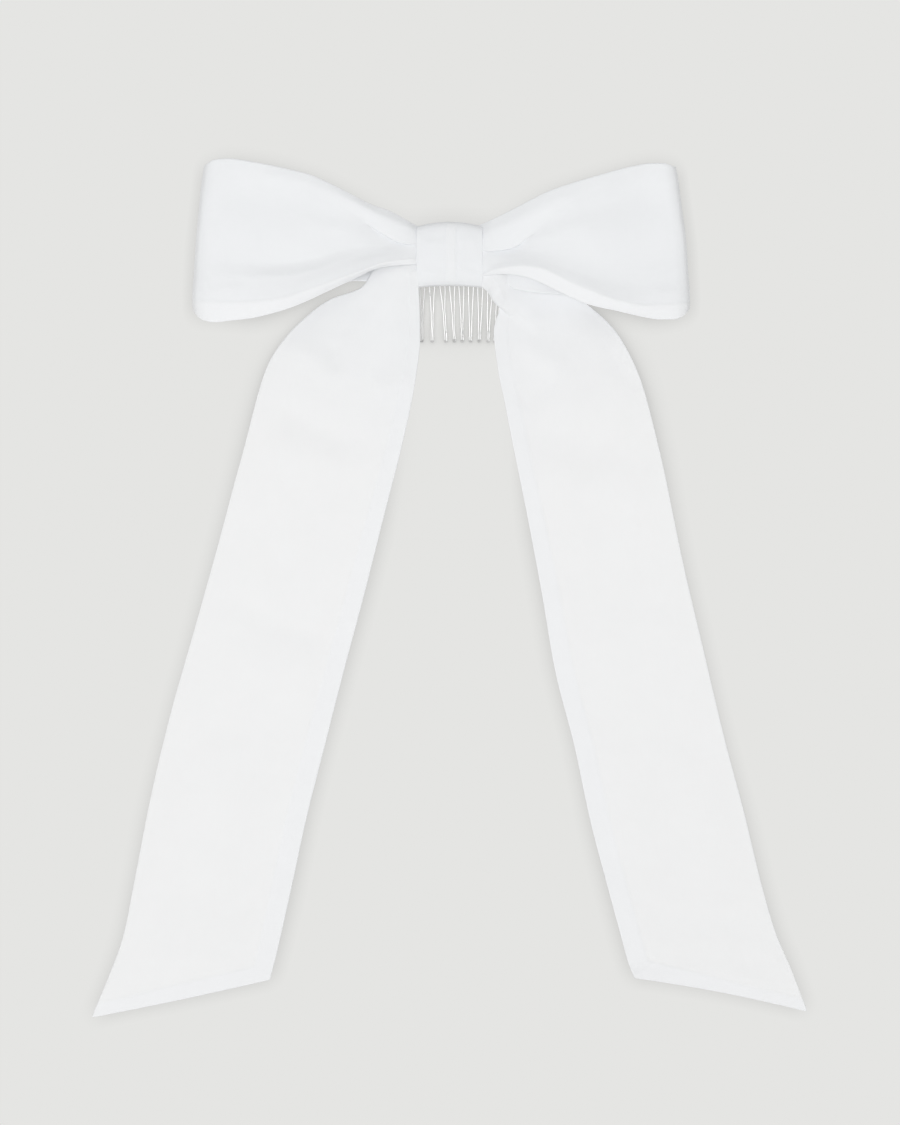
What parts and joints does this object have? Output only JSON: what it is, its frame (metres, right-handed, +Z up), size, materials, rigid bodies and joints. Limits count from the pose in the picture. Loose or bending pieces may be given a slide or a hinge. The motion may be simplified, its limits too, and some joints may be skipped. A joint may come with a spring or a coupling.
{
  "type": "hair bow",
  "caption": "White satin ribbon hair bow: wide flat loops, a square knot band and long slant-cut tails, sewn to a wire side comb.",
  "frame": {"origin": "on the axis of the comb's spine wire, at the knot's centre line, which is where the comb holds the bow in the hair", "axes": "+Z up as worn, towards the loops' upper edges, with the comb's teeth and the tails pointing to -Z; -Y is the front of the bow and +Y the head; +X is to the right seen from the front"},
  "size_m": [0.3218, 0.0315, 0.3867],
  "materials": {
    "satin_fabric": "matte satin, double ply, slightly translucent",
    "sewing_thread": "spun polyester thread",
    "comb_wire": "silver plated steel wire"
  },
  "bodies": {
    "knot": {"knot_band": "satin_fabric", "loop_centre": "satin_fabric", "tail_centre": "satin_fabric", "gathering_thread": "sewing_thread", "comb_stitch_1": "sewing_thread", "comb_stitch_2": "sewing_thread", "comb_stitch_3": "sewing_thread", "comb_stitch_4": "sewing_thread", "comb_stitch_5": "sewing_thread", "comb_stitch_6": "sewing_thread"},
    "comb": {"comb_spine": "comb_wire", "comb_tooth_01": "comb_wire", "comb_tooth_02": "comb_wire", "comb_tooth_03": "comb_wire", "comb_tooth_04": "comb_wire", "comb_tooth_05": "comb_wire", "comb_tooth_06": "comb_wire", "comb_tooth_07": "comb_wire", "comb_tooth_08": "comb_wire", "comb_tooth_09": "comb_wire", "comb_tooth_10": "comb_wire", "comb_tooth_11": "comb_wire", "comb_tooth_12": "comb_wire"},
    "left_loop": {"loop_left": "satin_fabric"},
    "right_loop": {"loop_right": "satin_fabric"},
    "left_tail_top": {"tail_left_upper": "satin_fabric"},
    "left_tail_end": {"tail_left_lower": "satin_fabric"},
    "right_tail_top": {"tail_right_upper": "satin_fabric"},
    "right_tail_end": {"tail_right_lower": "satin_fabric"}
  },
  "joints": [
    {"name": "comb_tilt", "type": "hinge", "parent": "knot", "child": "comb", "pos_m": [0, 0, 0], "axis": [1, 0, 0], "range_deg": [0, 35]},
    {"name": "left_loop_fold", "type": "hinge", "parent": "knot", "child": "left_loop", "pos_m": [-0.015, -0.0118, 0], "axis": [0, 0, 1], "range_deg": [0, 40], "stiffness_Nm_per_rad": 0.01},
    {"name": "right_loop_fold", "type": "hinge", "parent": "knot", "child": "right_loop", "pos_m": [0.015, -0.0118, 0], "axis": [0, 0, -1], "range_deg": [0, 40], "stiffness_Nm_per_rad": 0.01},
    {"name": "left_tail_swing", "type": "hinge", "parent": "knot", "child": "left_tail_top", "pos_m": [-0.015, -0.007, -0.0083], "axis": [0, 1, 0], "range_deg": [-7, 15], "stiffness_Nm_per_rad": 0.04, "springref_deg": 7.45},
    {"name": "right_tail_swing", "type": "hinge", "parent": "knot", "child": "right_tail_top", "pos_m": [0.015, -0.007, -0.0083], "axis": [0, -1, 0], "range_deg": [-7, 15], "stiffness_Nm_per_rad": 0.04, "springref_deg": 7.1},
    {"name": "left_tail_bend", "type": "hinge", "parent": "left_tail_top", "child": "left_tail_end", "pos_m": [-0.0598, -0.007, -0.095], "axis": [-0.9792, 0, 0.2028], "range_deg": [-45, 60]},
    {"name": "right_tail_bend", "type": "hinge", "parent": "right_tail_top", "child": "right_tail_end", "pos_m": [0.0632, -0.007, -0.0935], "axis": [-0.99, 0, -0.141], "range_deg": [-45, 60]}
  ]
}
